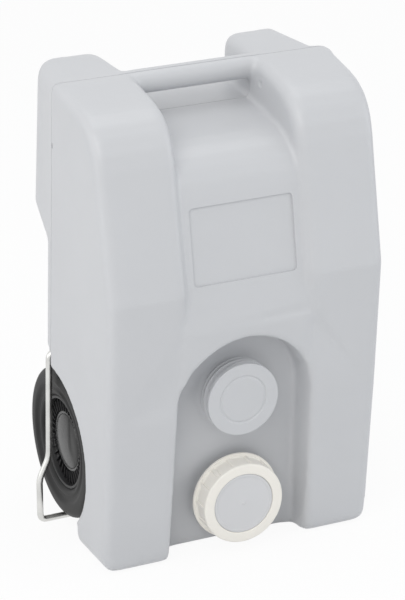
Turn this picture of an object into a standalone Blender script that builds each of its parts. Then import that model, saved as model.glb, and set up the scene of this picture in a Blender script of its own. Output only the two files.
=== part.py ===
"""A wheeled waste water tank that stands on two front feet and a swinging wire bail.

Metres. X runs across the tank, Y from its front to its wheels, Z up from the floor.
The origin is under the middle of the whole tank, on the floor.
The tank leans forward a little as it stands: its seam plane, rear faces and neck panel share one lean.
The necks run level, and the drain neck carries the screw cap.
"""

import math

import bmesh
import bpy
from mathutils import Matrix, Vector

# Overall form of the tank body, its height to the rear block's corner before rounding
HEIGHT = 0.5525
HALF_WIDTH = 0.1693
LEAN = 0.07
SEAM_Y_AT_FLOOR = 0.1595
FRONT_DRAFT = 0.0133
REAR_DRAFT = 0.163
WALL = 0.003

# Side outline of the two lobes in front of the seam, and the dip and flat of their top at the seam
FOOT_FRONT_Y = -0.0044
SHIN = (-0.0223, 0.1895)
CREASE = (-0.0326, 0.3385)
BROW_Y = 0.0075
BROW_DROP = 0.0165
BROW_TANGENT = 0.05
SEAM_DIP = 0.003
SEAM_FLAT = 0.014

# Channel between the lobes, down to where its floor meets the front
CHANNEL_HALF = 0.072
CHANNEL_REAR_DRAFT = 0.07
CHANNEL_END_Z = 0.2915
LABEL_FOOT = (-0.0214, 0.3402)
BELLY_CORNER = (0.004, 0.4841)
BELLY_TANGENT = 0.045
PANEL_PROUD = 0.0005
CENTRE_STEP = 0.001
CENTRE_OVERLAP = 0.0048

# Rear of the tank: a deep block at the top, a flatter back below it
REAR_DEPTH = 0.0228
BLOCK_DEPTH = 0.0925
BLOCK_UNDERSIDE_Z = 0.3755
BLOCK_UNDERSIDE_DROP = 0.023

# Rounding of the lobes' outer and inner edges
FRONT_FILLET = 0.011
SEAM_FILLET = 0.005
SEAM_ZONE = 0.022
BLOCK_FILLET = 0.012
BACK_FILLET = 0.006
FOOT_FILLET = 0.011
CHANNEL_FILLET = 0.014
BLOCK_TOP_TANGENT = 0.018
FILLET_STEPS = 4
FILLET_RUN_OUT = 0.004
WIDE_TANGENT = 0.02

# Grip bar across the top, with the finger gap under it
BAR_RADIUS = 0.0142
BAR_SET_BACK = 0.0035
BAR_RISE = 0.0015
FINGER_GAP = 0.022
BAR_END_IN_LOBE = 0.012

# Arched recess that holds the two necks
RECESS_Y_AT_FLOOR = 0.0277
RECESS_HALF_FRONT = 0.083
RECESS_HALF_BACK = 0.0785
RECESS_ARCH_Z = 0.1955
RECESS_ARCH_STEPS = 24
RECESS_FOOT_FLARE = 0.005
RECESS_CUT_DEPTH = 0.08

# Wheels and axle
WHEEL_RADIUS = 0.0907
WHEEL_LIFT = 0.011
WHEEL_Y = 0.147
TYRE_SET_IN = 0.0079
TYRE_HALF_WIDTH = 0.021
TYRE_SHOULDER = 0.0125
TYRE_CROWN = 0.001
TYRE_SEAT_RADIUS = 0.056
ARCH_CLEARANCE = 0.006
AXLE_RADIUS = 0.005
AXLE_LIP = 0.0005
UNDERSIDE_DROP = 0.0116
WELL_DEPTH = 0.0653
FOOT_REAR_Y = 0.0815

# Rim, hub cap and the small pieces on the axle
RIM_BAND = 0.004
RIM_HALF_WIDTH = 0.0155
WEB_THICKNESS = 0.004
WEB_OUT = 0.003
RIB_COUNT = 24
RIB_OUTER_RADIUS = 0.0495
RIB_THICKNESS = 0.0016
RIB_HEIGHT = 0.003
HUB_RADIUS = 0.013
HUB_CAP_RADIUS = 0.0362
HUB_CAP_RISE = 0.005
HUB_CAP_WALL = 0.002
HUB_CAP_HOLLOW = 0.004
HUB_CAP_SEAT_RADIUS = 0.030
BUSH_WALL = 0.002
WASHER_RADIUS = 0.010
WASHER_THICKNESS = 0.0015
PUSH_NUT_RADIUS = 0.009
PUSH_NUT_THICKNESS = 0.002
AXLE_STICK_OUT = 0.0015

# Necks and the screw cap
NECK_RADIUS = 0.0414
NECK_BORE = 0.034
NECK_ROOT_DEPTH = 0.008
THREAD_HEIGHT = 0.0022
THREAD_PITCH = 0.006
THREAD_WIDTH = 0.003
THREAD_TURNS = 2.4
THREAD_STEPS = 18
THREAD_SINK = 0.0006
BLIND_NECK_Z = 0.1942
BLIND_NECK_LENGTH = 0.0293
BLIND_LIP_LENGTH = 0.0045
BLIND_RING_RADIUS = 0.0285
BLIND_RING_DEPTH = 0.0008
BLIND_RING_WIDTH = 0.0015
DRAIN_NECK_Z = 0.0645
CAP_FRONT_FROM_RECESS = 0.0412
CAP_BORE_CLEARANCE = 0.0006
CAP_LENGTH = 0.0265
CAP_FRONT_RADIUS = 0.0491
CAP_FLARE = 0.001
CAP_FLANGE_RADIUS = 0.0528
CAP_FLANGE_LENGTH = 0.0035
CAP_FACE_THICKNESS = 0.003
CAP_EDGE = 0.0018
GRIP_PANELS = 14
GRIP_DEPTH = 0.0011
GRIP_MARGIN = 0.0009
INSERT_RADIUS = 0.0364
INSERT_FLANGE_RADIUS = 0.0402
INSERT_FLANGE = 0.0025
INSERT_SET_BACK = 0.0008
INSERT_EDGE = 0.0006
SEAL_THICKNESS = 0.002
SEAL_WIDTH = 0.005

# Wire bail
ROD_RADIUS = 0.0038
BAIL_PIVOT_Y = 0.154
BAIL_PIVOT_Z = 0.2145
BAIL_FOOT_Y = 0.1525
BAIL_ARM_SET_IN = 0.0018
BAIL_SPLAY = 0.0035
BAIL_FOOT_STAND_OUT = 0.0145
JOG_TOP_Z = 0.0837
JOG_FOOT_Z = 0.0569
ROD_BEND = 0.008
STUB_LENGTH = 0.022
BUSH_SHELL = 0.0024
NOTCH_CLEARANCE = 0.003

# Gaps between neighbours, how far cutters run past what they cut, and the least edge kept
GAP = 0.0003
RUNNING_GAP = 0.0001
LEAST_EDGE = 0.000002
BEYOND = 0.02
ROUND_STEPS = 36

WHEEL_Z = WHEEL_RADIUS + WHEEL_LIFT
TYRE_OUTER_X = HALF_WIDTH - TYRE_SET_IN
WELL_WALL_X = HALF_WIDTH - WELL_DEPTH
BAIL_ARM_X = HALF_WIDTH - BAIL_ARM_SET_IN
BAIL_FOOT_X = HALF_WIDTH + BAIL_FOOT_STAND_OUT
ARCH_RADIUS = WHEEL_RADIUS + ARCH_CLEARANCE
FRONT_MOST_Y = CREASE[0]
REAR_MOST_Y = WHEEL_Y + WHEEL_RADIUS
MIDDLE_Y = (FRONT_MOST_Y + REAR_MOST_Y) / 2
SEAM_TOP_Z = HEIGHT - SEAM_DIP
BAR_Z = SEAM_TOP_Z + BAR_RISE - BAR_RADIUS
GAP_FLOOR_Z = BAR_Z - BAR_RADIUS - FINGER_GAP
WIDEST_FILLET = max(FRONT_FILLET, BLOCK_FILLET, CHANNEL_FILLET, FOOT_FILLET)
PANEL_NORMAL = Vector((0, -1, -LEAN)).normalized()


def seam_y(z):
    return SEAM_Y_AT_FLOOR - LEAN * z


def recess_y(z):
    return RECESS_Y_AT_FLOOR - LEAN * z


def side_half(y, z):
    """Half-width of the tank: widest at the seam, drafted forwards and rearwards."""
    behind = y - seam_y(z)
    return HALF_WIDTH - (REAR_DRAFT * behind if behind > 0 else -FRONT_DRAFT * behind)


def inner_half(y, z):
    """Where a lobe's inner wall stands."""
    return CHANNEL_HALF + CHANNEL_REAR_DRAFT * max(0.0, y - seam_y(z))


def material(name, colour, roughness, metallic=0.0):
    made = bpy.data.materials.new(name)
    made.use_nodes = True
    shader = made.node_tree.nodes["Principled BSDF"]
    shader.inputs["Base Color"].default_value = (*colour, 1.0)
    shader.inputs["Roughness"].default_value = roughness
    shader.inputs["Metallic"].default_value = metallic
    made.diffuse_color = (*colour, 1.0)
    return made


def finish(name, bm, look=None, smooth_angle=35):
    """Closes a bmesh into a named object with outward faces."""
    bmesh.ops.recalc_face_normals(bm, faces=bm.faces)
    mesh = bpy.data.meshes.new(name)
    bm.to_mesh(mesh)
    bm.free()
    mesh.shade_smooth()
    mesh.set_sharp_from_angle(angle=math.radians(smooth_angle))
    made = bpy.data.objects.new(name, mesh)
    if look:
        mesh.materials.append(look)
    bpy.context.scene.collection.objects.link(made)
    return made


def combine(target, tool, operation):
    """Joins, cuts or meets two objects, keeps the first and drops the second."""
    modifier = target.modifiers.new("combine", "BOOLEAN")
    modifier.operation = operation
    modifier.object = tool
    modifier.solver = "MANIFOLD"
    graph = bpy.context.evaluated_depsgraph_get()
    joined = bpy.data.meshes.new_from_object(target.evaluated_get(graph))
    target.modifiers.clear()
    target.data = joined
    bpy.data.objects.remove(tool)
    return target


def rounded(corners):
    """A polyline through corners (a, b, tangent), each with a tangent rounded off by a curve."""
    points = []
    for index, (a, b, tangent) in enumerate(corners):
        corner = Vector((a, b))
        if not tangent:
            points.append(corner)
            continue
        before = Vector(corners[index - 1][:2])
        after = Vector(corners[(index + 1) % len(corners)][:2])
        start = corner + (before - corner).normalized() * tangent
        end = corner + (after - corner).normalized() * tangent
        steps = 5 if tangent > WIDE_TANGENT else 3
        for step in range(steps + 1):
            t = step / steps
            points.append(start * (1 - t) ** 2 + corner * 2 * t * (1 - t) + end * t**2)
    return points


def inset_outline(points, distance):
    """The same closed outline with every side moved inwards."""
    area = sum(p.x * q.y - q.x * p.y for p, q in zip(points, points[1:] + points[:1]))
    turn = math.copysign(1.0, area)
    moved = []
    for index, point in enumerate(points):
        back = (point - points[index - 1]).normalized()
        ahead = (points[(index + 1) % len(points)] - point).normalized()
        normal_back = Vector((-back.y, back.x)) * turn
        normal_ahead = Vector((-ahead.y, ahead.x)) * turn
        mean = normal_back + normal_ahead
        moved.append(point + mean * distance * 2 / mean.length_squared)
    return moved


def slab(front, rear, near, far):
    """A solid between two X limits, from a front and a rear outline that share the seam's side."""
    bm = bmesh.new()
    corners = {}
    for outline in (front, rear):
        for point in outline:
            key = (round(point.x, 7), round(point.y, 7))
            if key not in corners:
                corners[key] = bm.verts.new((0, point.x, point.y))
    faces = []
    for outline in (front, rear):
        loop = [corners[(round(p.x, 7), round(p.y, 7))] for p in outline]
        faces.append(bm.faces.new(loop))
    bmesh.ops.recalc_face_normals(bm, faces=faces)
    made = bmesh.ops.extrude_face_region(bm, geom=faces)
    raised = {item for item in made["geom"] if isinstance(item, bmesh.types.BMVert)}
    for vert in bm.verts:
        _, y, z = vert.co
        vert.co.x = far(y, z) if vert in raised else near(y, z)
    bmesh.ops.recalc_face_normals(bm, faces=bm.faces)
    return bm, raised


def split_at_seam(outline):
    """Divides a side outline into its parts before and behind the seam plane."""
    front = []
    rear = []
    count = len(outline)
    for index in range(count):
        a = outline[index]
        b = outline[(index + 1) % count]
        side_a = round(a.x - seam_y(a.y), 6)
        side_b = round(b.x - seam_y(b.y), 6)
        if side_a <= 0:
            front.append(a)
        if side_a >= 0:
            rear.append(a)
        if side_a * side_b < 0:
            cross = a.lerp(b, side_a / (side_a - side_b))
            front.append(cross)
            rear.append(cross)
    return front, rear


def front_y(z):
    """Depth of the lobes' front between the shin and the crease."""
    share = (z - SHIN[1]) / (CREASE[1] - SHIN[1])
    return SHIN[0] + (CREASE[0] - SHIN[0]) * share


def rear_outline(step):
    """The rear of the tank below the finger gap's floor, set in by a step."""
    block = BLOCK_DEPTH - step
    back = REAR_DEPTH - step
    high = BLOCK_UNDERSIDE_Z
    low = high - BLOCK_UNDERSIDE_DROP
    return [
        (seam_y(high) + block, high, 0),
        (seam_y(low) + back, low, 0),
        (seam_y(step) + back, step, 0),
    ]


def outer_fillet(y, z):
    behind = y - seam_y(z)
    if z < FOOT_FILLET:
        return FOOT_FILLET
    if abs(behind) < SEAM_ZONE and z > HEIGHT / 2:
        return SEAM_FILLET
    if behind < 0:
        return FRONT_FILLET
    return BLOCK_FILLET if z > BLOCK_UNDERSIDE_Z else BACK_FILLET


def inner_fillet(y, z):
    floor = CHANNEL_END_Z if y < seam_y(z) else GAP_FLOOR_Z
    return CHANNEL_FILLET if z > floor else 0.0


def soften(made, widest):
    """Rounds the edges of an object that carry a weight."""
    modifier = made.modifiers.new("soften", "BEVEL")
    modifier.limit_method = "WEIGHT"
    modifier.width = widest
    modifier.segments = FILLET_STEPS
    modifier.use_clamp_overlap = False
    graph = bpy.context.evaluated_depsgraph_get()
    rounded_mesh = bpy.data.meshes.new_from_object(made.evaluated_get(graph))
    made.modifiers.clear()
    made.data = rounded_mesh
    return made


def lobe(inset, side):
    """One of the two tall lobes, from foot to rear block."""
    top = seam_y(SEAM_TOP_Z)
    brow_slope = BROW_DROP / (top - SEAM_FLAT - BROW_Y)
    block_slope = SEAM_DIP / BLOCK_DEPTH
    run_out_z = GAP_FLOOR_Z - FILLET_RUN_OUT
    corners = [
        (FOOT_FRONT_Y, 0, 0),
        (*SHIN, 0),
        (front_y(CHANNEL_END_Z), CHANNEL_END_Z, 0),
        (*CREASE, 0),
        (BROW_Y, SEAM_TOP_Z - BROW_DROP, BROW_TANGENT),
        (top - SEAM_ZONE, SEAM_TOP_Z - brow_slope * (SEAM_ZONE - SEAM_FLAT), 0),
        (top - SEAM_FLAT, SEAM_TOP_Z, 0),
        (top, SEAM_TOP_Z, 0),
        (top + SEAM_ZONE, SEAM_TOP_Z + block_slope * SEAM_ZONE, 0),
        (top + BLOCK_DEPTH, HEIGHT, BLOCK_TOP_TANGENT),
        (seam_y(GAP_FLOOR_Z) + BLOCK_DEPTH, GAP_FLOOR_Z, 0),
        (seam_y(run_out_z) + BLOCK_DEPTH, run_out_z, 0),
        *rear_outline(0),
    ]
    outline = inset_outline(rounded(corners), inset)
    front, rear = split_at_seam(outline)

    def near(y, z):
        return inner_half(y, z) + inset

    def far(y, z):
        return side_half(y, z) - inset

    bm, raised = slab(front, rear, near, far)
    weights = bm.edges.layers.float.new("bevel_weight_edge")
    for edge in bm.edges:
        ends = [vert in raised for vert in edge.verts]
        on_seam = all(abs(vert.co.y - seam_y(vert.co.z)) < 1e-5 for vert in edge.verts)
        y, z = (edge.verts[0].co.yz + edge.verts[1].co.yz) / 2
        toe = z < FOOT_FILLET and y < SHIN[0] / 2 + FOOT_FILLET
        if (ends[0] != ends[1] and not toe) or on_seam:
            continue
        radius = outer_fillet(y, z) if toe or ends[0] else inner_fillet(y, z)
        edge[weights] = max(0.0, radius - inset) / WIDEST_FILLET
    if side < 0:
        bmesh.ops.scale(bm, vec=(-1, 1, 1), verts=bm.verts)
    return soften(finish("lobe", bm), WIDEST_FILLET)


def centre(inset):
    """The middle of the tank: label panel, belly, finger gap floor and rear block."""
    corners = [
        (FOOT_FRONT_Y - PANEL_PROUD, CENTRE_STEP, 0),
        (SHIN[0] - PANEL_PROUD, SHIN[1], 0),
        (front_y(CHANNEL_END_Z) - PANEL_PROUD, CHANNEL_END_Z, 0),
        (*LABEL_FOOT, 0),
        (*BELLY_CORNER, BELLY_TANGENT),
        (seam_y(GAP_FLOOR_Z), GAP_FLOOR_Z, 0),
        (seam_y(GAP_FLOOR_Z) + BLOCK_DEPTH - CENTRE_STEP, GAP_FLOOR_Z, BACK_FILLET),
        *rear_outline(CENTRE_STEP),
    ]
    outline = inset_outline(rounded(corners), inset)
    front, rear = split_at_seam(outline)

    def far(y, z):
        return inner_half(y, z) + CENTRE_OVERLAP

    def near(y, z):
        return -far(y, z)

    bm, _ = slab(front, rear, near, far)
    return finish("centre", bm)


def box(low, high):
    bm = bmesh.new()
    bmesh.ops.create_cube(bm, size=1.0)
    low = Vector(low)
    high = Vector(high)
    for vert in bm.verts:
        vert.co = [low[i] if vert.co[i] < 0 else high[i] for i in range(3)]
    return finish("box", bm)


def rod(start, end, radius, steps=ROUND_STEPS):
    """A plain cylinder between two points."""
    start = Vector(start)
    end = Vector(end)
    bm = bmesh.new()
    bmesh.ops.create_cone(
        bm,
        cap_ends=True,
        segments=steps,
        radius1=radius,
        radius2=radius,
        depth=(end - start).length,
    )
    turn = (end - start).to_track_quat("Z", "Y").to_matrix().to_4x4()
    bmesh.ops.transform(bm, matrix=Matrix.Translation((start + end) / 2) @ turn, verts=bm.verts)
    return finish("rod", bm)


def turned(name, outline, look=None, steps=ROUND_STEPS):
    """A body turned about its own Z, from a closed outline of (radius, height) points."""
    bm = bmesh.new()
    verts = [bm.verts.new((radius, 0, height)) for radius, height in outline]
    edges = [bm.edges.new((a, b)) for a, b in zip(verts, verts[1:] + verts[:1])]
    bmesh.ops.spin(
        bm,
        geom=verts + edges,
        cent=(0, 0, 0),
        axis=(0, 0, 1),
        angle=math.tau,
        steps=steps,
        use_merge=True,
    )
    bmesh.ops.remove_doubles(bm, verts=bm.verts, dist=1e-6)
    thin = [edge for edge in bm.edges if edge.calc_length() < 1e-7]
    bmesh.ops.collapse(bm, edges=thin)
    return finish(name, bm, look)


def recess_cutter(inset):
    """The arched pocket, drafted from the front face back to the neck panel."""
    bm = bmesh.new()
    draft = RECESS_HALF_FRONT - RECESS_HALF_BACK
    rings = []
    for half, along in (
        (RECESS_HALF_BACK + inset, -inset),
        (RECESS_HALF_FRONT + draft + inset, RECESS_CUT_DEPTH),
    ):
        outline = [(half + RECESS_FOOT_FLARE, -BEYOND)]
        for step in range(RECESS_ARCH_STEPS + 1):
            angle = math.pi * step / RECESS_ARCH_STEPS
            outline.append((half * math.cos(angle), RECESS_ARCH_Z + half * math.sin(angle)))
        outline.append((-half - RECESS_FOOT_FLARE, -BEYOND))
        ring = []
        for x, z in outline:
            place = Vector((x, recess_y(z), z)) + PANEL_NORMAL * along
            ring.append(bm.verts.new(place))
        rings.append(ring)
    for ring in rings:
        bm.faces.new(ring)
    back, front = rings
    for index in range(len(back)):
        after = (index + 1) % len(back)
        bm.faces.new((back[index], back[after], front[after], front[index]))
    return finish("recess", bm)


def wheel_cutters(inset):
    """Wheel arches, the cut-away under the rear, the axle groove and the bail's notches and sockets."""
    arch_top = WHEEL_Z + ARCH_RADIUS + inset
    beyond = HALF_WIDTH + BEYOND
    rear = SEAM_Y_AT_FLOOR + BLOCK_DEPTH
    wall_x = WELL_WALL_X - inset
    underside = WHEEL_Z - UNDERSIDE_DROP + inset
    foot_rear = FOOT_REAR_Y - inset
    groove = AXLE_RADIUS + GAP + inset
    mouth = AXLE_RADIUS - AXLE_LIP + inset
    pivot = (BAIL_PIVOT_Y, BAIL_PIVOT_Z)
    notch_x = BAIL_ARM_X - ROD_RADIUS - GAP - inset
    notch_top = BAIL_PIVOT_Z + ROD_RADIUS + NOTCH_CLEARANCE + inset
    notch_front = BAIL_FOOT_Y - ROD_RADIUS - GAP - inset
    socket = ROD_RADIUS + RUNNING_GAP + BUSH_SHELL + GAP + inset
    socket_end = BAIL_ARM_X - STUB_LENGTH - GAP - inset
    cutters = [box((-beyond, foot_rear, -BEYOND), (beyond, rear, underside))]
    for side in (-1, 1):
        low_x, high_x = sorted((side * wall_x, side * beyond))
        hub = (WHEEL_Y, WHEEL_Z)
        cutters.append(rod((side * wall_x, *hub), (side * beyond, *hub), ARCH_RADIUS + inset, 64))
        cutters.append(box((low_x, WHEEL_Y, 0.0), (high_x, rear, arch_top)))
        low_x, high_x = sorted((side * notch_x, side * beyond))
        cutters.append(box((low_x, notch_front, WHEEL_Z), (high_x, rear, notch_top)))
        cutters.append(rod((side * socket_end, *pivot), (side * beyond, *pivot), socket, 16))
    across = WELL_WALL_X + BEYOND
    cutters.append(rod((-across, WHEEL_Y, WHEEL_Z), (across, WHEEL_Y, WHEEL_Z), groove, 24))
    cutters.append(
        box((-across, WHEEL_Y - mouth, underside - BEYOND), (across, WHEEL_Y + mouth, WHEEL_Z))
    )
    return cutters


def form(inset):
    """The tank's whole form, set in by the wall for its inside."""
    body = centre(inset)
    for side in (-1, 1):
        combine(body, lobe(inset, side), "UNION")
    reach = CHANNEL_HALF + BAR_END_IN_LOBE - inset
    bar_y = seam_y(BAR_Z) + BAR_SET_BACK
    bar = rod((-reach, bar_y, BAR_Z), (reach, bar_y, BAR_Z), BAR_RADIUS - inset, 24)
    combine(body, bar, "UNION")
    combine(body, recess_cutter(inset), "DIFFERENCE")
    for cutter in wheel_cutters(inset):
        combine(body, cutter, "DIFFERENCE")
    return body


def thread(start, turns):
    """A ridge that climbs a neck, running out to nothing at both ends."""
    bm = bmesh.new()
    count = round(turns * THREAD_STEPS)
    rings = []
    for step in range(count + 1):
        angle = math.tau * step / THREAD_STEPS
        along = start + THREAD_PITCH * step / THREAD_STEPS
        fade = min(1.0, 3 * step / THREAD_STEPS, 3 * (count - step) / THREAD_STEPS)
        root = NECK_RADIUS - THREAD_SINK
        crest = root + THREAD_SINK / 2 + (THREAD_HEIGHT + THREAD_SINK / 2) * fade
        half = THREAD_WIDTH / 2
        section = ((root, -half), (crest, -half / 2), (crest, half / 2), (root, half))
        ring = []
        for radius, offset in section:
            place = (radius * math.cos(angle), radius * math.sin(angle), along + offset)
            ring.append(bm.verts.new(place))
        rings.append(ring)
    for first, second in zip(rings, rings[1:]):
        for index in range(4):
            after = (index + 1) % 4
            bm.faces.new((first[index], first[after], second[after], second[index]))
    bm.faces.new(rings[0])
    bm.faces.new(list(reversed(rings[-1])))
    return finish("thread", bm)


def on_neck(made, z):
    """Places an object made along +Z onto a neck's axis, from the recess panel outwards."""
    made.matrix_world = Matrix.Translation((0, recess_y(z), z)) @ Matrix.Rotation(math.pi / 2, 4, "X")
    bpy.context.view_layer.update()
    return made


def welded(made):
    """The object with corners that its cuts left almost on each other merged."""
    bm = bmesh.new()
    bm.from_mesh(made.data)
    bmesh.ops.remove_doubles(bm, verts=bm.verts, dist=LEAST_EDGE)
    bmesh.ops.dissolve_degenerate(bm, edges=bm.edges, dist=LEAST_EDGE)
    bm.to_mesh(made.data)
    bm.free()
    return made


def build_tank(look):
    """The hollow tank with its two necks, one blind and one open."""
    body = form(0.0)
    drain_length = seal_start() - GAP
    root = -NECK_ROOT_DEPTH
    for z, length in ((BLIND_NECK_Z, BLIND_NECK_LENGTH), (DRAIN_NECK_Z, drain_length)):
        neck = rod((0, 0, root), (0, 0, length), NECK_RADIUS)
        lead = length - THREAD_WIDTH - THREAD_PITCH * THREAD_TURNS
        if z == BLIND_NECK_Z:
            lead -= BLIND_LIP_LENGTH
            lip = NECK_RADIUS + THREAD_HEIGHT
            start = length - BLIND_LIP_LENGTH
            combine(neck, rod((0, 0, start), (0, 0, length + GAP), lip), "UNION")
        combine(neck, thread(lead, THREAD_TURNS), "UNION")
        combine(body, on_neck(neck, z), "UNION")
    combine(body, form(WALL), "DIFFERENCE")
    hollow = rod((0, 0, root), (0, 0, BLIND_NECK_LENGTH - WALL), NECK_RADIUS - WALL, 32)
    combine(body, on_neck(hollow, BLIND_NECK_Z), "DIFFERENCE")
    bore = rod((0, 0, root), (0, 0, drain_length + WALL), NECK_BORE)
    combine(body, on_neck(bore, DRAIN_NECK_Z), "DIFFERENCE")
    low = BLIND_NECK_LENGTH - BLIND_RING_DEPTH
    high = BLIND_NECK_LENGTH + WALL
    inner = BLIND_RING_RADIUS - BLIND_RING_WIDTH
    groove = ring_between("ring", None, inner, BLIND_RING_RADIUS, low, high)
    combine(body, on_neck(groove, BLIND_NECK_Z), "DIFFERENCE")
    welded(body)
    body.name = "tank_body"
    body.data.name = "tank_body"
    body.data.materials.clear()
    body.data.materials.append(look)
    body.data.shade_smooth()
    body.data.set_sharp_from_angle(angle=math.radians(32))
    return body


def insert_back():
    """Height on the drain neck's axis of the back of the cap's insert flange."""
    return CAP_FRONT_FROM_RECESS - CAP_FACE_THICKNESS - GAP - INSERT_FLANGE


def seal_start():
    return insert_back() - GAP - SEAL_THICKNESS


def build_collar(look):
    """The cap's threaded collar, with recessed grip panels between its flange and its face."""
    front = CAP_FRONT_FROM_RECESS
    base = front - CAP_LENGTH
    bore = NECK_RADIUS + THREAD_HEIGHT + CAP_BORE_CLEARANCE
    window = INSERT_RADIUS + GAP
    edge = CAP_EDGE
    grip_low = base + CAP_FLANGE_LENGTH
    outline = [
        (bore, base),
        (CAP_FLANGE_RADIUS - edge / 2, base),
        (CAP_FLANGE_RADIUS, base + edge / 2),
        (CAP_FLANGE_RADIUS, grip_low - edge / 2),
        (CAP_FRONT_RADIUS + CAP_FLARE, grip_low),
        (CAP_FRONT_RADIUS, front - 2 * edge),
        (CAP_FRONT_RADIUS - edge / 3, front - edge / 2),
        (CAP_FRONT_RADIUS - edge, front),
        (window + edge / 2, front),
        (window, front - edge / 2),
        (window, front - CAP_FACE_THICKNESS),
        (bore, front - CAP_FACE_THICKNESS),
    ]
    collar = turned("cap_collar", outline, look, steps=GRIP_PANELS * 4)
    bm = bmesh.new()
    bm.from_mesh(collar.data)
    band = []
    for face in bm.faces:
        heights = [vert.co.z for vert in face.verts]
        middle = face.calc_center_median()
        on_grip = min(heights) > grip_low - 1e-5 and max(heights) < front - 2 * edge + 1e-5
        if on_grip and middle.xy.length > CAP_FRONT_RADIUS - edge / 2:
            band.append((math.atan2(middle.y, middle.x) % math.tau, face))
    pitch = math.tau / GRIP_PANELS
    for panel in range(GRIP_PANELS):
        group = [face for angle, face in band if panel * pitch < angle < (panel + 0.75) * pitch]
        bmesh.ops.inset_region(
            bm, faces=group, thickness=GRIP_MARGIN, depth=-GRIP_DEPTH, use_even_offset=True
        )
    bm.to_mesh(collar.data)
    bm.free()
    collar.data.set_sharp_from_angle(angle=math.radians(35))
    return collar


def build_insert(look):
    """The cap's loose disc: a flange held under the collar's face, and a boss that shows through it."""
    back = insert_back()
    front = CAP_FRONT_FROM_RECESS - INSERT_SET_BACK
    shoulder = back + INSERT_FLANGE
    plug = NECK_BORE - 2 * GAP
    outline = [
        (0, back - SEAL_THICKNESS),
        (plug, back - SEAL_THICKNESS),
        (plug, back),
        (INSERT_FLANGE_RADIUS, back),
        (INSERT_FLANGE_RADIUS, shoulder),
        (INSERT_RADIUS, shoulder),
        (INSERT_RADIUS, front - INSERT_EDGE),
        (INSERT_RADIUS - INSERT_EDGE, front),
        (0, front),
    ]
    return turned("cap_insert", outline, look)


def build_seal(look):
    """A flat ring between the insert and the neck's rim."""
    low = seal_start()
    high = low + SEAL_THICKNESS
    inner = NECK_BORE + GAP
    outer = inner + SEAL_WIDTH
    outline = [(inner, low), (outer, low), (outer, high), (inner, high)]
    return turned("cap_seal", outline, look)


def hub_face():
    """Distance from the tyre's middle plane out to the rim's outer web face."""
    return WEB_OUT + WEB_THICKNESS


def tyre_middle_x():
    return TYRE_OUTER_X - TYRE_HALF_WIDTH


def hub_inner():
    """Inner end of the hub tube, measured outwards from the tyre's middle plane."""
    return WELL_WALL_X + GAP + WASHER_THICKNESS + GAP - tyre_middle_x()


def build_tyre(name, look):
    """A fat tyre with round shoulders, flat where it seats on the rim."""
    seat = TYRE_SEAT_RADIUS
    bead = RIM_HALF_WIDTH
    steps = 5
    half = [(seat, bead), (seat + TYRE_HALF_WIDTH - bead, TYRE_HALF_WIDTH)]
    for step in range(steps + 1):
        angle = math.pi / 2 * step / steps
        radius = WHEEL_RADIUS - TYRE_CROWN - TYRE_SHOULDER * (1 - math.sin(angle))
        half.append((radius, TYRE_HALF_WIDTH - TYRE_SHOULDER * (1 - math.cos(angle))))
    mirrored = [(radius, -height) for radius, height in half]
    return turned(name, [*mirrored, (WHEEL_RADIUS, 0), *reversed(half)], look)


def build_rim(name, look):
    """The rim: a band under the tyre, a web with radial ribs round the cap's seat, and a hub tube."""
    outer = TYRE_SEAT_RADIUS - GAP
    inner = outer - RIM_BAND
    web_low = WEB_OUT
    web_high = hub_face()
    bore = AXLE_RADIUS + RUNNING_GAP + BUSH_WALL + GAP
    hub_end = hub_inner()
    outline = [
        (bore, hub_end),
        (HUB_RADIUS, hub_end),
        (HUB_RADIUS, web_low),
        (inner, web_low),
        (inner, -RIM_HALF_WIDTH),
        (outer, -RIM_HALF_WIDTH),
        (outer, RIM_HALF_WIDTH),
        (inner, RIM_HALF_WIDTH),
        (inner, web_high),
        (bore, web_high),
    ]
    rim = turned(name, outline, look)
    low = HUB_CAP_RADIUS + 2 * GAP
    high = RIB_OUTER_RADIUS
    root = web_high - WEB_THICKNESS / 2
    tall = web_high + RIB_HEIGHT
    place = Matrix.Translation(((low + high) / 2, 0, (root + tall) / 2))
    size = Matrix.Diagonal((high - low, RIB_THICKNESS, tall - root, 1))
    ribs = bmesh.new()
    for index in range(RIB_COUNT):
        turn = Matrix.Rotation(math.tau * index / RIB_COUNT, 4, "Z")
        bmesh.ops.create_cube(ribs, size=1.0, matrix=turn @ place @ size)
    return combine(rim, finish("ribs", ribs), "UNION")


def build_hub_cap(name, look):
    """A plain domed cap whose skirt seats on the web."""
    base = hub_face() + GAP
    steps = 5
    dome = []
    under = []
    for step in range(steps + 1):
        angle = math.pi / 2 * step / steps
        rise = HUB_CAP_RISE * math.sin(angle)
        dome.append((HUB_CAP_RADIUS * math.cos(angle), base + HUB_CAP_WALL + rise))
        spread = HUB_CAP_SEAT_RADIUS * math.cos(angle)
        under.append((spread, base + HUB_CAP_HOLLOW * math.sin(angle)))
    outline = [(HUB_CAP_SEAT_RADIUS, base), (HUB_CAP_RADIUS, base), *dome, *reversed(under)]
    return turned(name, outline[:-1], look)


def ring_between(name, look, inner, outer, low, high, steps=32):
    return turned(name, [(inner, low), (outer, low), (outer, high), (inner, high)], look, steps)


def bail_path(side):
    """Centre line of half the bail, from its stub in the tank to the middle of its cross bar."""
    foot_z = ROD_RADIUS
    return [
        Vector((side * (BAIL_ARM_X - STUB_LENGTH), BAIL_PIVOT_Y, BAIL_PIVOT_Z)),
        Vector((side * BAIL_ARM_X, BAIL_PIVOT_Y, BAIL_PIVOT_Z)),
        Vector((side * (BAIL_ARM_X + BAIL_SPLAY), BAIL_FOOT_Y, JOG_TOP_Z)),
        Vector((side * BAIL_FOOT_X, BAIL_FOOT_Y, JOG_FOOT_Z)),
        Vector((side * BAIL_FOOT_X, BAIL_FOOT_Y, foot_z)),
    ]


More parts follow.
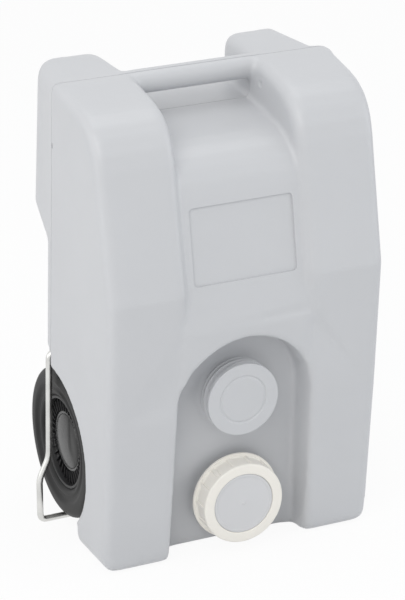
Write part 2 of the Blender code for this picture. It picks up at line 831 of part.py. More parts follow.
def bent(corners, bend, steps=4):
    """A route through corners with each inner corner turned as an arc."""
    route = [corners[0]]
    for before, corner, after in zip(corners, corners[1:], corners[2:]):
        start = corner + (before - corner).normalized() * bend
        end = corner + (after - corner).normalized() * bend
        for step in range(steps + 1):
            t = step / steps
            route.append(start * (1 - t) ** 2 + corner * 2 * t * (1 - t) + end * t**2)
    route.append(corners[-1])
    return route


def build_bail(look):
    left = bail_path(-1)
    right = bail_path(1)
    route = bent(left + list(reversed(right)), ROD_BEND)
    curve = bpy.data.curves.new("bail_rod", "CURVE")
    curve.dimensions = "3D"
    curve.bevel_depth = ROD_RADIUS
    curve.bevel_resolution = 2
    curve.use_fill_caps = True
    line = curve.splines.new("POLY")
    line.points.add(len(route) - 1)
    pivot = Vector((0, BAIL_PIVOT_Y, BAIL_PIVOT_Z))
    for point, place in zip(line.points, route):
        point.co = (*(place - pivot), 1)
    curve.materials.append(look)
    made = bpy.data.objects.new("bail_rod", curve)
    made.location = pivot
    bpy.context.scene.collection.objects.link(made)
    return made


def build_bail_bush(name, side, look):
    """A flanged sleeve round the bail's stub, in its blind socket in the tank's side."""
    inner = ROD_RADIUS + RUNNING_GAP
    outer = inner + BUSH_SHELL
    length = STUB_LENGTH - ROD_RADIUS - ROD_BEND
    bush = ring_between(name, look, inner, outer, 0, length, steps=16)
    turn = Matrix.Rotation(side * math.pi / 2, 4, "Y")
    start = BAIL_ARM_X - STUB_LENGTH
    place = Matrix.Translation((side * start, BAIL_PIVOT_Y, BAIL_PIVOT_Z))
    bush.matrix_world = place @ turn
    return bush


def build_wheel(side, word, looks):
    """One wheel with its cap, bush, washer and push-on nut, made along its outward axle."""
    washer_low = WELL_WALL_X + GAP - tyre_middle_x()
    nut_low = hub_face() + GAP
    bush_inner = AXLE_RADIUS + RUNNING_GAP
    pieces = [
        build_tyre(f"tyre_{word}", looks["tyre"]),
        build_rim(f"rim_{word}", looks["rim"]),
        build_hub_cap(f"hub_cap_{word}", looks["hub_cap"]),
        ring_between(
            f"wheel_bush_{word}",
            looks["bush"],
            bush_inner,
            bush_inner + BUSH_WALL,
            hub_inner(),
            hub_face(),
        ),
        ring_between(
            f"spacer_washer_{word}",
            looks["steel"],
            AXLE_RADIUS + RUNNING_GAP,
            WASHER_RADIUS,
            washer_low,
            washer_low + WASHER_THICKNESS,
        ),
        ring_between(
            f"push_nut_{word}",
            looks["steel"],
            AXLE_RADIUS + RUNNING_GAP,
            PUSH_NUT_RADIUS,
            nut_low,
            nut_low + PUSH_NUT_THICKNESS,
        ),
    ]
    turn = Matrix.Rotation(side * math.pi / 2, 4, "Y")
    place = Matrix.Translation((side * tyre_middle_x(), WHEEL_Y, WHEEL_Z))
    for piece in pieces:
        piece.matrix_world = place @ turn
    return pieces


def build_axle(look):
    half = tyre_middle_x() + hub_face() + GAP + PUSH_NUT_THICKNESS + AXLE_STICK_OUT
    axle = rod((-half, WHEEL_Y, WHEEL_Z), (half, WHEEL_Y, WHEEL_Z), AXLE_RADIUS, 24)
    axle.name = "axle"
    axle.data.name = "axle"
    axle.data.materials.append(look)
    return axle


def main():
    for existing in list(bpy.data.objects):
        bpy.data.objects.remove(existing)
    looks = {
        "tank": material("tank_plastic", (0.55, 0.56, 0.585), 0.42),
        "collar": material("collar_plastic", (0.86, 0.85, 0.79), 0.35),
        "insert": material("insert_plastic", (0.60, 0.61, 0.63), 0.40),
        "seal": material("seal_rubber", (0.03, 0.03, 0.03), 0.80),
        "tyre": material("tyre_rubber", (0.045, 0.045, 0.048), 0.60),
        "rim": material("rim_plastic", (0.02, 0.02, 0.022), 0.45),
        "hub_cap": material("hub_cap_plastic", (0.05, 0.05, 0.05), 0.18),
        "bush": material("bush_plastic", (0.75, 0.75, 0.72), 0.50),
        "steel": material("zinc_steel", (0.62, 0.62, 0.62), 0.30, 1.0),
        "bail": material("bail_steel", (0.75, 0.75, 0.74), 0.35, 1.0),
    }
    pieces = [build_tank(looks["tank"])]
    for made in (
        build_collar(looks["collar"]),
        build_insert(looks["insert"]),
        build_seal(looks["seal"]),
    ):
        pieces.append(on_neck(made, DRAIN_NECK_Z))
    pieces.append(build_axle(looks["steel"]))
    for side, word in ((-1, "left"), (1, "right")):
        pieces.extend(build_wheel(side, word, looks))
        pieces.append(build_bail_bush(f"bail_bush_{word}", side, looks["bush"]))
    pieces.append(build_bail(looks["bail"]))
    frame = bpy.data.objects.new("tank_frame", None)
    bpy.context.scene.collection.objects.link(frame)
    for piece in pieces:
        piece.parent = frame
    frame.location = (0, -MIDDLE_Y, 0)


main()
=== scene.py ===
"""Looks of a wheeled waste water tank: blow-moulded shell, screw cap, soft tyres and wire bail."""

import math

import bmesh
import bpy
from mathutils import Matrix, Vector


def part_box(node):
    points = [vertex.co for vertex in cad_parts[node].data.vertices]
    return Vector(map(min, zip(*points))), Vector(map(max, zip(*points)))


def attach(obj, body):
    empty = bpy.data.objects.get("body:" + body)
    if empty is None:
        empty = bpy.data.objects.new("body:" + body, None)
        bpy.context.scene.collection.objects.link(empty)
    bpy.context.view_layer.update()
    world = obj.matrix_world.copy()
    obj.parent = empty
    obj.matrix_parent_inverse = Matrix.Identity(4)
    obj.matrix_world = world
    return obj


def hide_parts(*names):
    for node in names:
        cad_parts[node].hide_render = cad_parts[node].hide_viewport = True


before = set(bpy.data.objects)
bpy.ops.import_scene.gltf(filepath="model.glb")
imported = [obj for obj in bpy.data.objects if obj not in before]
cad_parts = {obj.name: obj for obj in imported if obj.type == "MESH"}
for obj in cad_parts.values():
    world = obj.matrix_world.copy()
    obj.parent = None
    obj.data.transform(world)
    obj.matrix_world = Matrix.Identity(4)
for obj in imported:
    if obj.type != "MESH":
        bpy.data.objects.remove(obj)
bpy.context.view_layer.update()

# Places on the tank, in metres, in the frame's own axes
LEAN = 0.07
SEAM_Y = 0.05695
SEAM_TOP_Z = 0.5495
TOP_RISE = 0.0324
REAR_DRAFT = 0.163
FRONT_DRAFT = 0.0133
BLOCK_UNDERSIDE_Z = 0.3755
PANEL_Y = -0.07485
RECESS_HALF = 0.082
RECESS_TOP_Z = 0.29

# Two necks on the front panel, and their thread
UPPER_NECK_Z = 0.1942
DRAIN_NECK_Z = 0.0645
NECK_RADIUS = 0.0414
NECK_WAIST = 0.0018
NECK_SET_IN = 0.004
BORE_RADIUS = 0.034
THREAD_PITCH = 0.006
THREAD_HEIGHT = 0.0021
THREAD_WIDTH = 0.003
THREAD_ROOT = 0.0003
THREAD_TURNS = 2.4
THREAD_RUN_OUT = 1 / 6
THREAD_BELOW_RIM = 0.0015
THREAD_SECTION = ((0, -0.42), (0.85, -0.33), (1, -0.2), (1, 0.2), (0.85, 0.33), (0, 0.42))

# Label's place, a bare framed plate on the slope over the recess
LABEL_FOOT = Vector((0, -0.12395, 0.3402))
LABEL_HEAD = Vector((0, -0.09855, 0.4841))
LABEL_HALF_WIDTH = 0.0628
LABEL_LOW = 0.003
LABEL_HIGH = 0.0915
LABEL_DEPTH = 0.002
LABEL_CORNER = 0.0055
LABEL_CUT_HEIGHT = 0.01

# Wire bail, and the play round it
ROD_RADIUS = 0.0038
ARM_X = 0.1675
FOOT_X = 0.1838
ROD_SET_FORWARD = 0.0015
JOG_TOP_Z = 0.0837
JOG_FOOT_Z = 0.0569
PLAY = 0.0003

# Moulded form that is softer than the frame's
BLOCK_TAPER = 0.2
TAPER_START_X = 0.1
TAPER_FULL_X = 0.14
BLOCK_EDGE_RADIUS = 0.027
BLOCK_EDGE_START = -0.001
BLOCK_EDGE_END = 0.010
FOOT_EDGE_RADIUS = 0.019
SEAM_GROOVE_WIDTH = 0.0008
SEAM_GROOVE_DEPTH = 0.0005

# Smoothing passes over each region of the shell: the more of them, the rounder its edges
FEET_TOP_Z = 0.03
FEET_PASSES = 20
CROWN_Z = 0.5
CRISP_START = -0.012
CRISP_END = 0.003
CRISP_X = 0.14
CRISP_PASSES = 2
STRIP_END = 0.012
STRIP_X = 0.13
STRIP_PASSES = 4
REAR_GRIP_X = 0.12
REAR_GRIP_PASSES = 16
LOBE_INSIDE_X = 0.083
LOBE_INSIDE_REACH = 0.014
LOBE_INSIDE_START = -0.025
LOBE_INSIDE_PASSES = 14
RECESS_EDGE_REACH = 0.02
RECESS_EDGE_PASSES = 18
OTHER_PASSES = 6

# Marks of the mould: the blowing needle's slot and the dimples inside the lobes
SLOT_Z = 0.4771
SLOT_BEFORE_SEAM = 0.0015
SLOT_HALF_SIZE = Vector((0.007, 0.0015, 0.0032))
SLOT_EDGE = 0.0007
DIMPLE_PLACE = Vector((0.0645, -0.0059, 0.5235))
DIMPLE_RADIUS = 0.0087

# Mesh of the shell
WELD = 1e-6
VOXEL = 0.0025
SEAM_GAP = 0.0003
FAR = 0.6


def corner_box(node):
    """A node's low corner, high corner and middle."""
    low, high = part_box(node)
    return low, high, (low + high) / 2


WHEEL_LOW, WHEEL_HIGH, WHEEL_CENTRE = corner_box("tyre_right")
WHEEL_RADIUS = (WHEEL_HIGH.z - WHEEL_LOW.z) / 2
BUSH_LOW, BUSH_HIGH, BUSH_CENTRE = corner_box("bail_bush_right")
PIVOT = Vector((0, *BUSH_CENTRE.yz))
SOCKET_RADIUS = (BUSH_HIGH.z - BUSH_LOW.z) / 2 + PLAY
AXLE_LOW, AXLE_HIGH, AXLE_CENTRE = corner_box("axle")
AXLE_RADIUS = (AXLE_HIGH.z - AXLE_LOW.z) / 2
WELL_WALL_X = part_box("spacer_washer_right")[0].x - PLAY
HALF_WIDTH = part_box("tank_body")[1].x


def seam_y(z):
    """Where the mould's seam lies at a height."""
    return SEAM_Y - LEAN * z


def panel_y(z):
    """Where the recessed front panel lies at a height."""
    return PANEL_Y - LEAN * z


def link(name, mesh):
    """A new object in the scene."""
    made = bpy.data.objects.new(name, mesh)
    bpy.context.scene.collection.objects.link(made)
    return made


def from_bmesh(name, bm, look=None, smooth=35):
    """A smooth-shaded object from a bmesh, with edges past an angle kept sharp."""
    mesh = bpy.data.meshes.new(name)
    bm.to_mesh(mesh)
    bm.free()
    mesh.shade_smooth()
    mesh.set_sharp_from_angle(angle=math.radians(smooth))
    if look:
        mesh.materials.append(look)
    return link(name, mesh)


def evaluated_mesh(made):
    """The mesh that an object shows, modifiers and bevels included."""
    graph = bpy.context.evaluated_depsgraph_get()
    return bpy.data.meshes.new_from_object(made.evaluated_get(graph))


def applied(made):
    """The object with its modifiers made part of its mesh."""
    mesh = evaluated_mesh(made)
    made.modifiers.clear()
    made.data = mesh
    return made


def combined(target, tool, operation):
    """The target after a Boolean with a tool, which is used up."""
    modifier = target.modifiers.new("combine", "BOOLEAN")
    modifier.operation = operation
    modifier.object = tool
    modifier.solver = "MANIFOLD"
    applied(target)
    bpy.data.objects.remove(tool)
    return target


def cylinder(bm, start, end, radius, steps=64):
    """Adds a closed cylinder between two points."""
    start = Vector(start)
    end = Vector(end)
    turn = (end - start).to_track_quat("Z", "Y").to_matrix().to_4x4()
    place = Matrix.Translation((start + end) / 2) @ turn
    bmesh.ops.create_cone(
        bm,
        cap_ends=True,
        segments=steps,
        radius1=radius,
        radius2=radius,
        depth=(end - start).length,
        matrix=place,
    )


def cuboid(bm, low, high):
    """Adds a closed box between two corners."""
    low = Vector(low)
    high = Vector(high)
    place = Matrix.Translation((low + high) / 2) @ Matrix.Diagonal((*(high - low), 1))
    bmesh.ops.create_cube(bm, size=1.0, matrix=place)


def rounded_edges(bm, width, segments=3):
    """Rounds off all edges of a closed shape."""
    bmesh.ops.bevel(
        bm,
        geom=bm.edges[:],
        offset=width,
        offset_type="OFFSET",
        segments=segments,
        profile=0.5,
        affect="EDGES",
        clamp_overlap=True,
        material=-1,
    )


def turned(outline, steps):
    """A bmesh turned about Z from a closed outline of (radius, height) points."""
    bm = bmesh.new()
    verts = [bm.verts.new((radius, 0, height)) for radius, height in outline]
    edges = [bm.edges.new(pair) for pair in zip(verts, verts[1:] + verts[:1])]
    bmesh.ops.spin(
        bm,
        geom=verts + edges,
        cent=(0, 0, 0),
        axis=(0, 0, 1),
        angle=math.tau,
        steps=steps,
        use_merge=True,
    )
    bmesh.ops.remove_doubles(bm, verts=bm.verts, dist=WELD)
    bmesh.ops.recalc_face_normals(bm, faces=bm.faces)
    return bm


def corner_arc(before, corner, after, tangent, steps):
    """Points that round off a corner, from a tangent's length before it to as far after it."""
    start = corner + (before - corner).normalized() * tangent
    end = corner + (after - corner).normalized() * tangent
    shares = [step / steps for step in range(steps + 1)]
    return [start * (1 - t) ** 2 + corner * 2 * t * (1 - t) + end * t**2 for t in shares]


def soft_corners(corners, steps=5):
    """An outline through (a, b, tangent) corners, each rounded off over its tangent."""
    points = []
    for index, (a, b, tangent) in enumerate(corners):
        corner = Vector((a, b))
        if not tangent:
            points.append(corner)
            continue
        before = Vector(corners[index - 1][:2])
        after = Vector(corners[(index + 1) % len(corners)][:2])
        points += corner_arc(before, corner, after, tangent, steps)
    return points


def neck_place(z):
    """From a neck's own axes, with +Z out of the tank, to its place on the panel."""
    return Matrix.Translation((0, panel_y(z), z)) @ Matrix.Rotation(math.pi / 2, 4, "X")


def wheel_place(side):
    """From a wheel's own axes, with +Z outwards, to its place on the axle."""
    middle = Vector((side * WHEEL_CENTRE.x, WHEEL_CENTRE.y, WHEEL_CENTRE.z))
    return Matrix.Translation(middle) @ Matrix.Rotation(side * math.pi / 2, 4, "Y")


def principled(name, colour, roughness, **values):
    """A node material with one Principled shader."""
    made = bpy.data.materials.new(name)
    made.use_nodes = True
    shader = made.node_tree.nodes["Principled BSDF"]
    shader.inputs["Base Color"].default_value = (*colour, 1.0)
    shader.inputs["Roughness"].default_value = roughness
    for key, value in values.items():
        shader.inputs[key.replace("_", " ")].default_value = value
    return made, shader


def speckle(made, scale, detail=3.0, stretch=(1, 1, 1)):
    """A noise texture on the object's own coordinates."""
    nodes = made.node_tree.nodes
    links = made.node_tree.links
    coordinates = nodes.new("ShaderNodeTexCoord")
    mapping = nodes.new("ShaderNodeMapping")
    mapping.inputs["Scale"].default_value = stretch
    texture = nodes.new("ShaderNodeTexNoise")
    texture.inputs["Scale"].default_value = scale
    texture.inputs["Detail"].default_value = detail
    links.new(coordinates.outputs["Object"], mapping.inputs["Vector"])
    links.new(mapping.outputs["Vector"], texture.inputs["Vector"])
    return texture.outputs["Fac"]


def ramp(made, source, low, high):
    """A colour that a value leads from one (position, colour) stop to another."""
    node = made.node_tree.nodes.new("ShaderNodeValToRGB")
    made.node_tree.links.new(source, node.inputs["Fac"])
    for element, (position, colour) in zip(node.color_ramp.elements, (low, high)):
        element.position = position
        element.color = (*colour, 1.0)
    return node.outputs["Color"]


def spread(made, source, low, high):
    """A value stretched to a range."""
    node = made.node_tree.nodes.new("ShaderNodeMapRange")
    node.inputs["To Min"].default_value = low
    node.inputs["To Max"].default_value = high
    made.node_tree.links.new(source, node.inputs["Value"])
    return node.outputs["Result"]


def bumped(made, shader, *layers):
    """Bump from (height source, strength, distance) layers, one over the other."""
    below = None
    for source, strength, distance in layers:
        node = made.node_tree.nodes.new("ShaderNodeBump")
        node.inputs["Strength"].default_value = strength
        node.inputs["Distance"].default_value = distance
        made.node_tree.links.new(source, node.inputs["Height"])
        if below:
            made.node_tree.links.new(below, node.inputs["Normal"])
        below = node.outputs["Normal"]
    made.node_tree.links.new(below, shader.inputs["Normal"])


def shade(colour, factor):
    """A colour made lighter or darker."""
    return tuple(value * factor for value in colour)


def moulded_plastic(name, colour, roughness, change=0.03, grain=0.03, **values):
    """Moulded plastic: slight drift of colour and gloss, with a fine skin and a slow waviness."""
    made, shader = principled(name, colour, roughness, **values)
    links = made.node_tree.links
    drift = speckle(made, 9.0, 4.0)
    tone = ramp(made, drift, (0.3, shade(colour, 1 - change)), (0.7, shade(colour, 1 + change)))
    links.new(tone, shader.inputs["Base Color"])
    gloss = spread(made, speckle(made, 30.0, 5.0), roughness - 0.05, roughness + 0.06)
    links.new(gloss, shader.inputs["Roughness"])
    fine = speckle(made, 900.0, 2.0)
    slow = speckle(made, 22.0, 2.0)
    bumped(made, shader, (slow, grain * 2, 0.002), (fine, grain, 0.0004))
    return made


def zinc_wire(name, colour, roughness):
    """Bright drawn steel with faint lengthwise marks and dull patches."""
    made, shader = principled(name, colour, roughness, Metallic=1.0)
    links = made.node_tree.links
    cloud = speckle(made, 60.0, 6.0)
    tone = ramp(made, cloud, (0.3, shade(colour, 0.82)), (0.7, colour))
    links.new(tone, shader.inputs["Base Color"])
    links.new(spread(made, cloud, roughness - 0.08, roughness + 0.16), shader.inputs["Roughness"])
    marks = speckle(made, 1500.0, 2.0, (1, 1, 0.08))
    bumped(made, shader, (marks, 0.08, 0.0003))
    return made


def tyre_skin(name, colour, roughness):
    """Soft black tyre plastic with a dusty bloom."""
    made, shader = principled(name, colour, roughness, Specular_IOR_Level=0.28)
    links = made.node_tree.links
    bloom = speckle(made, 40.0, 6.0)
    tone = ramp(made, bloom, (0.35, shade(colour, 0.8)), (0.75, shade(colour, 1.35)))
    links.new(tone, shader.inputs["Base Color"])
    links.new(spread(made, bloom, roughness - 0.08, roughness + 0.1), shader.inputs["Roughness"])
    bumped(made, shader, (speckle(made, 1200.0, 3.0), 0.12, 0.0003))
    return made


def in_fitting(co):
    """Whether a point of the frame's tank lies on a neck or in a bail socket."""
    margin = 0.0005
    neck_reach = NECK_RADIUS + THREAD_HEIGHT + 2 * margin
    behind_panel = 0.03
    for z in (UPPER_NECK_Z, DRAIN_NECK_Z):
        across = math.hypot(co.x, co.z - z)
        if across < neck_reach and co.y < panel_y(0) + behind_panel:
            return True
    beside = math.hypot(co.y - PIVOT.y, co.z - PIVOT.z)
    return beside < SOCKET_RADIUS + margin and abs(co.x) > WELL_WALL_X


def outer_skin():
    """The tank's outer surface as one closed skin, with necks, sockets and hollow taken away."""
    bm = bmesh.new()
    bm.from_mesh(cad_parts["tank_body"].data)
    bmesh.ops.remove_doubles(bm, verts=bm.verts, dist=WELD)
    fittings = [face for face in bm.faces if all(in_fitting(vert.co) for vert in face.verts)]
    bmesh.ops.delete(bm, geom=fittings, context="FACES")
    crown = max(bm.verts, key=lambda vert: vert.co.z)
    outside = {crown}
    to_visit = [crown]
    while to_visit:
        vert = to_visit.pop()
        for edge in vert.link_edges:
            other = edge.other_vert(vert)
            if other not in outside and edge.link_faces:
                outside.add(other)
                to_visit.append(other)
    inside = [vert for vert in bm.verts if vert not in outside]
    bmesh.ops.delete(bm, geom=inside, context="VERTS")
    rims = [edge for edge in bm.edges if edge.is_boundary]
    bmesh.ops.holes_fill(bm, edges=rims, sides=0)
    bmesh.ops.recalc_face_normals(bm, faces=bm.faces)
    return bm


def eased(value, start, end):
    """0 before a start, 1 after an end, and a smooth step between them."""
    share = min(1.0, max(0.0, (value - start) / (end - start)))
    return share * share * (3 - 2 * share)


def onto_arc(across, along, radius):
    """A corner point, by its depths from two faces, drawn onto the corner's arc."""
    a = radius - across
    b = radius - along
    if a <= 0 or b <= 0 or math.hypot(a, b) <= radius:
        return across, along
    share = radius / math.hypot(a, b)
    return radius - a * share, radius - b * share


def carved(made):
    """Draws in the rear block's sides, and rounds its top edges and the feet's outer corners."""
    bm = bmesh.new()
    bm.from_mesh(made.data)
    for vert in bm.verts:
        co = vert.co
        side = math.copysign(1.0, co.x)
        behind = co.y - seam_y(co.z)
        half = HALF_WIDTH - (REAR_DRAFT * behind if behind > 0 else -FRONT_DRAFT * behind)
        if behind > 0 and co.z > BLOCK_UNDERSIDE_Z:
            draw = BLOCK_TAPER * behind * (co.z - BLOCK_UNDERSIDE_Z)
            half -= draw
            co.x -= side * draw * eased(abs(co.x), TAPER_START_X, TAPER_FULL_X)
            top = SEAM_TOP_Z + TOP_RISE * behind
            radius = BLOCK_EDGE_RADIUS * eased(behind, BLOCK_EDGE_START, BLOCK_EDGE_END)
            across, along = onto_arc(half - abs(co.x), top - co.z, radius)
            co.x = side * (half - across)
            co.z = top - along
        elif co.z < FOOT_EDGE_RADIUS:
            across, along = onto_arc(half - abs(co.x), co.z, FOOT_EDGE_RADIUS)
            co.x = side * (half - across)
            co.z = along
    bm.to_mesh(made.data)
    bm.free()
    return made


def soft_passes(co):
    """How many smoothing passes a point of the shell takes: more makes its edges rounder."""
    behind = co.y - seam_y(co.z)
    across = abs(co.x)
    if co.z < FEET_TOP_Z:
        return FEET_PASSES
    if co.z > CROWN_Z:
        if CRISP_START < behind < CRISP_END and across > CRISP_X:
            return CRISP_PASSES
        if CRISP_END <= behind < STRIP_END and across > STRIP_X:
            return STRIP_PASSES
        if behind > STRIP_END and across < REAR_GRIP_X:
            return REAR_GRIP_PASSES
        if abs(across - LOBE_INSIDE_X) < LOBE_INSIDE_REACH and behind > LOBE_INSIDE_START:
            return LOBE_INSIDE_PASSES
    out_of_panel = co.y < panel_y(co.z) - RECESS_EDGE_REACH
    beside_recess = abs(across - RECESS_HALF) < RECESS_EDGE_REACH
    if out_of_panel and beside_recess and co.z < RECESS_TOP_Z:
        return RECESS_EDGE_PASSES
    return OTHER_PASSES


def smooth_shell(made):
    """Rounds the shell's edges by repeated smoothing."""
    bm = bmesh.new()
    bm.from_mesh(made.data)
    passes = [(soft_passes(vert.co), vert) for vert in bm.verts]
    most = max(count for count, _ in passes)
    for index in range(most):
        chosen = [vert for count, vert in passes if count > index]
        bmesh.ops.smooth_vert(
            bm, verts=chosen, factor=0.5, use_axis_x=True, use_axis_y=True, use_axis_z=True
        )
    bm.to_mesh(made.data)
    bm.free()
    return made


def label_axes():
    """Origin and directions of the label's place: across, up the slope, and out of it."""
    across = Vector((1, 0, 0))
    up = (LABEL_HEAD - LABEL_FOOT).normalized()
    out = Vector((0, -up.z, up.y))
    turn = Matrix((across, up, out)).transposed().to_4x4()
    return Matrix.Translation(LABEL_FOOT) @ turn


def label_cutter():
    """A rounded plate that sinks the label's place into the slope."""
    outline = soft_corners(
        [
            (-LABEL_HALF_WIDTH, LABEL_LOW, LABEL_CORNER),
            (LABEL_HALF_WIDTH, LABEL_LOW, LABEL_CORNER),
            (LABEL_HALF_WIDTH, LABEL_HIGH, LABEL_CORNER),
            (-LABEL_HALF_WIDTH, LABEL_HIGH, LABEL_CORNER),
        ]
    )
    bm = bmesh.new()
    verts = [bm.verts.new((point.x, point.y, -LABEL_DEPTH)) for point in outline]
    face = bm.faces.new(verts)
    raised = bmesh.ops.extrude_face_region(bm, geom=[face])
    top = [item for item in raised["geom"] if isinstance(item, bmesh.types.BMVert)]
    bmesh.ops.translate(bm, verts=top, vec=(0, 0, LABEL_CUT_HEIGHT + LABEL_DEPTH))
    bmesh.ops.transform(bm, matrix=label_axes(), verts=bm.verts)
    bmesh.ops.recalc_face_normals(bm, faces=bm.faces)
    return bm


def seam_turn():
    """The turn from upright to the seam plane's lean."""
    return Vector((0, 1, LEAN)).to_track_quat("Y", "Z").to_matrix().to_4x4()


def seam_groove(body):
    """A fine groove round the tank where the mould's halves met."""
    inside = bmesh.new()
    inside.from_mesh(body.data)
    for vert in inside.verts:
        vert.co -= vert.normal * SEAM_GROOVE_DEPTH
    core = from_bmesh("core", inside)
    slab = bmesh.new()
    half = SEAM_GROOVE_WIDTH / 2
    cuboid(slab, (-FAR, -half, -FAR), (FAR, half, FAR))
    place = Matrix.Translation((0, SEAM_Y, 0)) @ seam_turn()
    bmesh.ops.transform(slab, matrix=place, verts=slab.verts)
    band = combined(from_bmesh("band", slab), core, "DIFFERENCE")
    return combined(body, band, "DIFFERENCE")


def mould_marks():
    """The slot left by the blowing needle, and the shallow dimples inside the lobes."""
    slot = bmesh.new()
    middle = Vector((-HALF_WIDTH, seam_y(SLOT_Z) - SLOT_BEFORE_SEAM, SLOT_Z))
    cuboid(slot, middle - SLOT_HALF_SIZE, middle + SLOT_HALF_SIZE)
    rounded_edges(slot, SLOT_EDGE)
    cutters = [slot]
    for side in (-1, 1):
        dimple = bmesh.new()
        place = Matrix.Translation((side * DIMPLE_PLACE.x, *DIMPLE_PLACE.yz))
        bmesh.ops.create_uvsphere(
            dimple, u_segments=64, v_segments=32, radius=DIMPLE_RADIUS, matrix=place
        )
        cutters.append(dimple)
    return cutters


def bail_cutters():
    """Moulded notches for the bail's arms, and the sockets of their ends."""
    beyond = 0.2
    socket_mouth_x = 0.19
    notch_edge = 0.0015
    notch_inner_x = ARM_X - ROD_RADIUS - PLAY
    notch_front = PIVOT.y - ROD_SET_FORWARD - ROD_RADIUS - PLAY
    notch_foot = PIVOT.z - 0.13
    notch_top = PIVOT.z + ROD_RADIUS + 0.003
    cutters = []
    for side in (-1, 1):
        low_x, high_x = sorted((side * notch_inner_x, side * beyond))
        notch = bmesh.new()
        cuboid(notch, (low_x, notch_front, notch_foot), (high_x, beyond, notch_top))
        rounded_edges(notch, notch_edge)
        cutters.append(notch)
        socket = bmesh.new()
        start = (side * (BUSH_LOW.x - PLAY), *PIVOT.yz)
        end = (side * socket_mouth_x, *PIVOT.yz)
        cylinder(socket, start, end, SOCKET_RADIUS, 48)
        cutters.append(socket)
    return cutters


def axle_cutters():
    """The groove that holds the axle under the tank, and its narrower mouth below."""
    reach = WELL_WALL_X + 0.01
    lip = 0.0005
    mouth_depth = 0.03
    groove = bmesh.new()
    start = (-reach, *AXLE_CENTRE.yz)
    end = (reach, *AXLE_CENTRE.yz)
    cylinder(groove, start, end, AXLE_RADIUS + PLAY, 48)
    mouth = bmesh.new()
    half = AXLE_RADIUS - lip
    low = (-reach, AXLE_CENTRE.y - half, AXLE_CENTRE.z - mouth_depth)
    high = (reach, AXLE_CENTRE.y + half, AXLE_CENTRE.z)
    cuboid(mouth, low, high)
    return [groove, mouth]


def drain_bore():
    """The way through the drain neck into the tank."""
    into_tank = 0.014
    past_neck = 0.06
    bore = bmesh.new()
    panel = panel_y(DRAIN_NECK_Z)
    start = (0, panel + into_tank, DRAIN_NECK_Z)
    end = (0, panel - past_neck, DRAIN_NECK_Z)
    cylinder(bore, start, end, BORE_RADIUS)
    return bore


def solid_form():
    """The tank's outer form, with its axle groove filled and the necks' roots put on."""
    bm = outer_skin()
    cover = AXLE_RADIUS + 0.0015
    cover_foot = 0.0116
    low = (-WELL_WALL_X, AXLE_CENTRE.y - cover, AXLE_CENTRE.z - cover_foot)
    high = (WELL_WALL_X, AXLE_CENTRE.y + cover, AXLE_CENTRE.z + cover)
    cuboid(bm, low, high)
    root_back = 0.002
    root_front = 0.006
    for z in (UPPER_NECK_Z, DRAIN_NECK_Z):
        panel = panel_y(z)
        start = (0, panel + root_back, z)
        end = (0, panel - root_front, z)
        cylinder(bm, start, end, NECK_RADIUS - NECK_WAIST)
    return bm


def shell(look):
    """The blow-moulded tank in its two halves, which meet at the mould seam."""
    body = from_bmesh("shell", solid_form(), look)
    even = body.modifiers.new("even", "REMESH")
    even.mode = "VOXEL"
    even.voxel_size = VOXEL
    even.use_smooth_shade = True
    applied(body)
    smooth_shell(carved(body))
    seam_groove(body)
    cutters = [*bail_cutters(), *axle_cutters(), *mould_marks(), label_cutter(), drain_bore()]
    for cutter in cutters:
        combined(body, from_bmesh("cutter", cutter), "DIFFERENCE")
    halves = []
    for name, sign in (("tank_front_shell", -1), ("tank_rear_shell", 1)):
        half = link(name, body.data.copy())
        room = bmesh.new()
        cuboid(room, (-FAR, min(0, sign * FAR), -FAR), (FAR, max(0, sign * FAR), FAR))
        offset = Matrix.Translation((0, SEAM_Y + sign * SEAM_GAP / 2, 0))
        bmesh.ops.transform(room, matrix=offset @ seam_turn(), verts=room.verts)
        combined(half, from_bmesh("room", room), "INTERSECT")
        half.data.shade_smooth()
        half.data.set_sharp_from_angle(angle=math.radians(38))
        half.data.materials.clear()
        half.data.materials.append(look)
        halves.append(half)
    bpy.data.objects.remove(body)
    return halves


def thread_ridge(bm, low, steps=72):
    """Adds a screw ridge spun up a neck, which runs out at both ends."""
    root = NECK_RADIUS - NECK_WAIST - THREAD_ROOT
    height = THREAD_ROOT + NECK_WAIST + THREAD_HEIGHT
    neck_verts = set(bm.verts)
    verts = [
        bm.verts.new((root + rise * height, 0, low + across * THREAD_WIDTH))
        for rise, across in THREAD_SECTION
    ]
    section = bm.faces.new(verts)
    count = round(THREAD_TURNS * steps)
    turns = count / steps
    bmesh.ops.spin(
        bm,
        geom=[*verts, *section.edges, section],
        cent=(0, 0, 0),
        axis=(0, 0, 1),
        dvec=(0, 0, THREAD_PITCH / steps),
        angle=math.tau * turns,
        steps=count,
        use_merge=False,
    )
    for vert in bm.verts:
        if vert in neck_verts:
            continue
        across = vert.co.xy.length
        angle = math.atan2(vert.co.y, vert.co.x) / math.tau
        turn = angle + round((vert.co.z - low) / THREAD_PITCH - angle)
        share = eased(min(turn, turns - turn), 0, THREAD_RUN_OUT)
        grown = THREAD_ROOT + (height - THREAD_ROOT) * share
        vert.co.xy *= (root + (across - root) * grown / height) / across


def neck(name, z, outline, thread_top, look):
    """A threaded neck turned on its own axis and set on the panel."""
    bm = turned(outline, 128)
    below = THREAD_WIDTH / 2 + THREAD_BELOW_RIM + THREAD_PITCH * THREAD_TURNS
    thread_ridge(bm, thread_top - below)
    bmesh.ops.recalc_face_normals(bm, faces=bm.faces)
    bmesh.ops.transform(bm, matrix=neck_place(z), verts=bm.verts)
    return from_bmesh(name, bm, look, 40)


